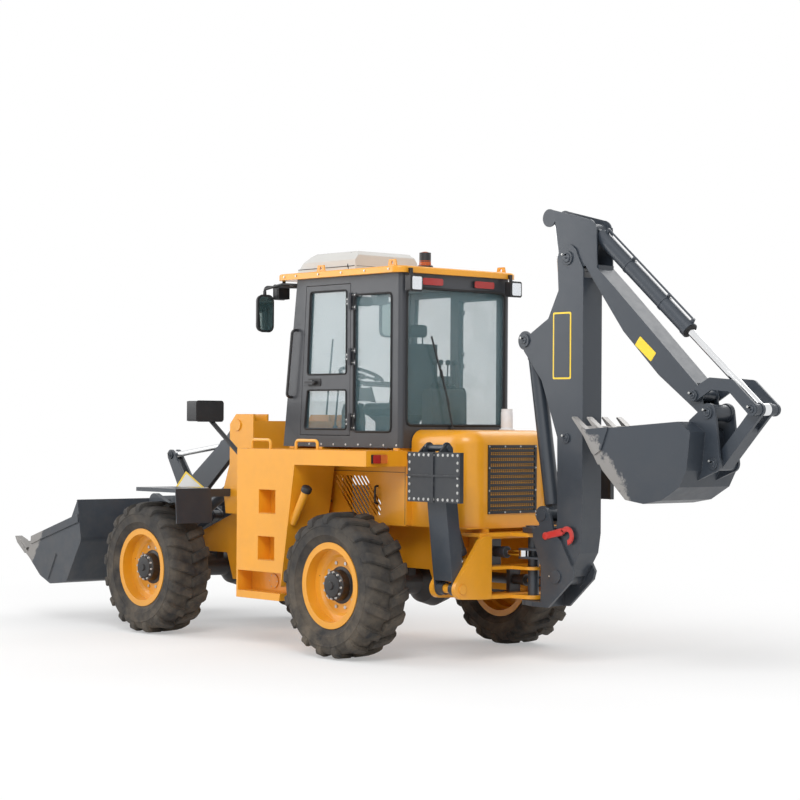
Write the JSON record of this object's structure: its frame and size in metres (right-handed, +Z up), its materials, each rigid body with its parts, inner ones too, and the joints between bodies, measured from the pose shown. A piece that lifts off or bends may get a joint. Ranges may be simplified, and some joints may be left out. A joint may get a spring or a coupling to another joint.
{
  "type": "backhoe loader",
  "caption": "Articulated backhoe loader with a loader bucket in front, a cab with opening doors, and a swinging digging arm with stabiliser legs behind.",
  "frame": {"origin": "on the ground under the middle of the whole machine in the stored pose", "axes": "+X to the loader bucket in front, +Y to the machine's left, +Z up"},
  "size_m": [8.2772, 2.44, 3.5719],
  "materials": {
    "painted_metal_1": "gloss",
    "cast_iron_2": "satin",
    "painted_metal_3": "satin",
    "chrome_4": "polished",
    "cast_iron_5": "satin",
    "glass_6": "clear",
    "matte_plastic_7": "satin",
    "leather_8": "matt",
    "matte_plastic_9": "matt",
    "gloss_plastic_10": "gloss",
    "matte_plastic_11": "satin",
    "tyre_12": "matt"
  },
  "bodies": {
    "rear": {"rear_frame": "painted_metal_1", "rear_axle": "cast_iron_2", "engine_block": "cast_iron_5", "hood": "painted_metal_1", "grille": "painted_metal_3", "side_platforms": "painted_metal_1", "cab_shell": "painted_metal_3", "cab_roof": "painted_metal_1", "cab_glass": "glass_6", "seat": "leather_8", "controls": "matte_plastic_9", "air_conditioner": "matte_plastic_7", "lamps": "gloss_plastic_10", "mirrors": "matte_plastic_11", "handrails": "painted_metal_1", "swing_barrels": "painted_metal_3"},
    "front": {"front_frame": "painted_metal_1", "front_axle": "cast_iron_2", "front_fenders": "painted_metal_3"},
    "arms": {"loader_arms": "painted_metal_3"},
    "loader_bucket": {"loader_bucket": "painted_metal_3"},
    "rocker": {"rocker": "painted_metal_3"},
    "link": {"bucket_link": "painted_metal_3"},
    "tilt_barrel": {"tilt_barrel": "painted_metal_3"},
    "tilt_rod": {"tilt_rod": "chrome_4"},
    "lift_barrels": {"lift_barrels": "painted_metal_3"},
    "lift_rods": {"lift_rods": "chrome_4"},
    "swing": {"swing_post": "painted_metal_3"},
    "swing_rod_left": {"swing_rod_left": "chrome_4"},
    "swing_rod_right": {"swing_rod_right": "chrome_4"},
    "boom": {"boom": "painted_metal_3"},
    "boom_barrel": {"boom_barrel": "painted_metal_3"},
    "boom_rod": {"boom_rod": "chrome_4"},
    "dipper": {"dipper": "painted_metal_3"},
    "dipper_barrel": {"dipper_barrel": "painted_metal_3"},
    "dipper_rod": {"dipper_rod": "chrome_4"},
    "hoe_bucket": {"hoe_bucket": "painted_metal_3"},
    "guide_links": {"guide_links": "painted_metal_3"},
    "push_link": {"push_link": "painted_metal_3"},
    "curl_barrel": {"curl_barrel": "painted_metal_3"},
    "curl_rod": {"curl_rod": "chrome_4"},
    "wheel_front_left": {"tyre_front_left": "tyre_12", "rim_front_left": "painted_metal_1"},
    "wheel_front_right": {"tyre_front_right": "tyre_12", "rim_front_right": "painted_metal_1"},
    "wheel_rear_left": {"tyre_rear_left": "tyre_12", "rim_rear_left": "painted_metal_1"},
    "wheel_rear_right": {"tyre_rear_right": "tyre_12", "rim_rear_right": "painted_metal_1"},
    "door_left": {"door_left": "painted_metal_3"},
    "leg_left": {"leg_left": "painted_metal_3"},
    "pad_left": {"pad_left": "painted_metal_3"},
    "leg_barrel_left": {"leg_barrel_left": "painted_metal_3"},
    "leg_rod_left": {"leg_rod_left": "chrome_4"},
    "door_right": {"door_right": "painted_metal_3"},
    "leg_right": {"leg_right": "painted_metal_3"},
    "pad_right": {"pad_right": "painted_metal_3"},
    "leg_barrel_right": {"leg_barrel_right": "painted_metal_3"},
    "leg_rod_right": {"leg_rod_right": "chrome_4"}
  },
  "joints": [
    {"name": "articulation", "type": "hinge", "parent": "rear", "child": "front", "pos_m": [0.7314, 0, 0.7], "axis": [0, 0, 1], "range_deg": [-35, 35]},
    {"name": "roll_front_left", "type": "hinge", "parent": "front", "child": "wheel_front_left", "pos_m": [2.0564, 0.94, 0.5875], "axis": [0, 1, 0], "continuous": true},
    {"name": "roll_front_right", "type": "hinge", "parent": "front", "child": "wheel_front_right", "pos_m": [2.0564, -0.94, 0.5875], "axis": [0, 1, 0], "continuous": true},
    {"name": "roll_rear_left", "type": "hinge", "parent": "rear", "child": "wheel_rear_left", "pos_m": [-0.5936, 0.94, 0.5875], "axis": [0, 1, 0], "continuous": true},
    {"name": "roll_rear_right", "type": "hinge", "parent": "rear", "child": "wheel_rear_right", "pos_m": [-0.5936, -0.94, 0.5875], "axis": [0, 1, 0], "continuous": true},
    {"name": "lift", "type": "hinge", "parent": "front", "child": "arms", "pos_m": [1.4264, 0, 1.867], "axis": [0, -1, 0], "range_deg": [-10.5, 80]},
    {"name": "loader_bucket_turn", "type": "hinge", "parent": "arms", "child": "loader_bucket", "pos_m": [2.9814, 0, 0.515], "axis": [0, 1, 0], "range_deg": [-8, 130]},
    {"name": "rocker_turn", "type": "hinge", "parent": "arms", "child": "rocker", "pos_m": [2.8094, 0, 1.138], "axis": [0, -1, 0], "range_deg": [-5.88, 87.94]},
    {"name": "link_turn", "type": "hinge", "parent": "rocker", "child": "link", "pos_m": [2.4434, 0, 1.016], "axis": [0, -1, 0], "range_deg": [-86.23, 5.78]},
    {"name": "tilt_barrel_turn", "type": "hinge", "parent": "front", "child": "tilt_barrel", "pos_m": [1.3134, 0, 1.802], "axis": [0, -1, 0], "range_deg": [-10.31, 75.22]},
    {"name": "tilt_rod_slide", "type": "slide", "parent": "tilt_barrel", "child": "tilt_rod", "axis": [0.9918, 0, -0.1275], "range_m": [-0.71451, 0.04491]},
    {"name": "lift_barrel_turn", "type": "hinge", "parent": "front", "child": "lift_barrels", "pos_m": [1.3914, 0, 1.44], "axis": [0, -1, 0], "range_deg": [-10.33, 75.41]},
    {"name": "lift_rod_slide", "type": "slide", "parent": "lift_barrels", "child": "lift_rods", "axis": [0.8702, 0, -0.4927], "range_m": [-0.07161, 0.539]},
    {"name": "swing", "type": "hinge", "parent": "rear", "child": "swing", "pos_m": [-1.7936, 0, 0.77], "axis": [0, 0, 1], "range_deg": [-90, 90]},
    {"name": "swing_rod_left_slide", "type": "slide", "parent": "rear", "child": "swing_rod_left", "axis": [1, 0, 0], "range_m": [-0.111, 0.111]},
    {"name": "swing_rod_right_slide", "type": "slide", "parent": "rear", "child": "swing_rod_right", "axis": [1, 0, 0], "range_m": [-0.111, 0.111]},
    {"name": "boom_turn", "type": "hinge", "parent": "swing", "child": "boom", "pos_m": [-2.1686, 0, 0.711], "axis": [0, -1, 0], "range_deg": [0, 120]},
    {"name": "boom_barrel_turn", "type": "hinge", "parent": "swing", "child": "boom_barrel", "pos_m": [-2.0136, 0, 1.183], "axis": [0, -1, 0], "range_deg": [-0.5, 130.61]},
    {"name": "boom_rod_slide", "type": "slide", "parent": "boom_barrel", "child": "boom_rod", "axis": [0.1631, 0, 0.9866], "range_m": [-0.001, 0.80015]},
    {"name": "dipper_turn", "type": "hinge", "parent": "boom", "child": "dipper", "pos_m": [-2.2506, 0, 3.177], "axis": [0, 1, 0], "range_deg": [0, 105]},
    {"name": "dipper_barrel_turn", "type": "hinge", "parent": "boom", "child": "dipper_barrel", "pos_m": [-2.2456, 0, 1.785], "axis": [0, 1, 0], "range_deg": [-0.5, 10.69]},
    {"name": "dipper_rod_slide", "type": "slide", "parent": "dipper_barrel", "child": "dipper_rod", "axis": [0.1214, 0, 0.9926], "range_m": [-0.57775, 0.001]},
    {"name": "hoe_bucket_turn", "type": "hinge", "parent": "dipper", "child": "hoe_bucket", "pos_m": [-3.6686, 0, 1.98], "axis": [0, 1, 0], "range_deg": [0, 120]},
    {"name": "guide_turn", "type": "hinge", "parent": "dipper", "child": "guide_links", "pos_m": [-3.5486, 0, 2.105], "axis": [0, 1, 0], "range_deg": [-0.5, 90.86]},
    {"name": "push_turn", "type": "hinge", "parent": "hoe_bucket", "child": "push_link", "pos_m": [-3.7236, 0, 1.612], "axis": [0, 1, 0], "range_deg": [-41.7, 0.5]},
    {"name": "curl_barrel_turn", "type": "hinge", "parent": "dipper", "child": "curl_barrel", "pos_m": [-2.4536, 0, 3.385], "axis": [0, 1, 0], "range_deg": [-0.5, 8.93]},
    {"name": "curl_rod_slide", "type": "slide", "parent": "curl_barrel", "child": "curl_rod", "axis": [-0.7637, 0, -0.6455], "range_m": [-0.73782, 0.001]},
    {"name": "leg_left_turn", "type": "hinge", "parent": "rear", "child": "leg_left", "pos_m": [-1.4936, 0.63, 0.6], "axis": [1, 0, 0], "range_deg": [-110, 0]},
    {"name": "pad_left_turn", "type": "hinge", "parent": "leg_left", "child": "pad_left", "pos_m": [-1.4936, 0.76, 1.7], "axis": [-1, 0, 0], "range_deg": [-20, 0]},
    {"name": "leg_barrel_left_turn", "type": "hinge", "parent": "leg_left", "child": "leg_barrel_left", "pos_m": [-1.4936, 0.712, 1.39], "axis": [1, 0, 0], "range_deg": [-0.5, 9.76]},
    {"name": "leg_rod_left_slide", "type": "slide", "parent": "leg_barrel_left", "child": "leg_rod_left", "axis": [0, -0.3709, -0.9287], "range_m": [-0.001, 0.38432]},
    {"name": "door_left_turn", "type": "hinge", "parent": "rear", "child": "door_left", "pos_m": [-0.2586, 0.63, 2.42], "axis": [0, 0, 1], "range_deg": [0, 100]},
    {"name": "leg_right_turn", "type": "hinge", "parent": "rear", "child": "leg_right", "pos_m": [-1.4936, -0.63, 0.6], "axis": [-1, 0, 0], "range_deg": [-110, 0]},
    {"name": "pad_right_turn", "type": "hinge", "parent": "leg_right", "child": "pad_right", "pos_m": [-1.4936, -0.76, 1.7], "axis": [1, 0, 0], "range_deg": [-20, 0]},
    {"name": "leg_barrel_right_turn", "type": "hinge", "parent": "leg_right", "child": "leg_barrel_right", "pos_m": [-1.4936, -0.712, 1.39], "axis": [-1, 0, 0], "range_deg": [-0.5, 9.76]},
    {"name": "leg_rod_right_slide", "type": "slide", "parent": "leg_barrel_right", "child": "leg_rod_right", "axis": [0, 0.3709, -0.9287], "range_m": [-0.001, 0.38432]},
    {"name": "door_right_turn", "type": "hinge", "parent": "rear", "child": "door_right", "pos_m": [-0.2586, -0.63, 2.42], "axis": [0, 0, -1], "range_deg": [0, 100]}
  ],
  "couplings": [
    {"joint": "rocker_turn", "follows": "loader_bucket_turn", "ratio": 0.67263},
    {"joint": "link_turn", "follows": "loader_bucket_turn", "ratio": -0.65948},
    {"joint": "tilt_barrel_turn", "follows": "lift", "ratio": 0.93402},
    {"joint": "tilt_rod_slide", "follows": "loader_bucket_turn", "m_per_rad": -0.31447},
    {"joint": "lift_barrel_turn", "follows": "lift", "ratio": 0.93635},
    {"joint": "lift_rod_slide", "follows": "lift", "m_per_rad": 0.38531},
    {"joint": "swing_rod_left_slide", "follows": "swing", "m_per_rad": -0.070028},
    {"joint": "swing_rod_right_slide", "follows": "swing", "m_per_rad": 0.070028},
    {"joint": "boom_barrel_turn", "follows": "boom_turn", "ratio": 1.0843},
    {"joint": "boom_rod_slide", "follows": "boom_turn", "m_per_rad": 0.38156},
    {"joint": "dipper_barrel_turn", "follows": "dipper_turn", "ratio": 0.097033},
    {"joint": "dipper_rod_slide", "follows": "dipper_turn", "m_per_rad": -0.31472},
    {"joint": "guide_turn", "follows": "hoe_bucket_turn", "ratio": 0.75304},
    {"joint": "push_turn", "follows": "hoe_bucket_turn", "ratio": -0.34335},
    {"joint": "curl_barrel_turn", "follows": "hoe_bucket_turn", "ratio": 0.07025},
    {"joint": "curl_rod_slide", "follows": "hoe_bucket_turn", "m_per_rad": -0.35181},
    {"joint": "leg_barrel_left_turn", "follows": "leg_left_turn", "ratio": -0.084225},
    {"joint": "leg_rod_left_slide", "follows": "leg_left_turn", "m_per_rad": -0.19966},
    {"joint": "leg_barrel_right_turn", "follows": "leg_right_turn", "ratio": -0.084225},
    {"joint": "leg_rod_right_slide", "follows": "leg_right_turn", "m_per_rad": -0.19966}
  ]
}
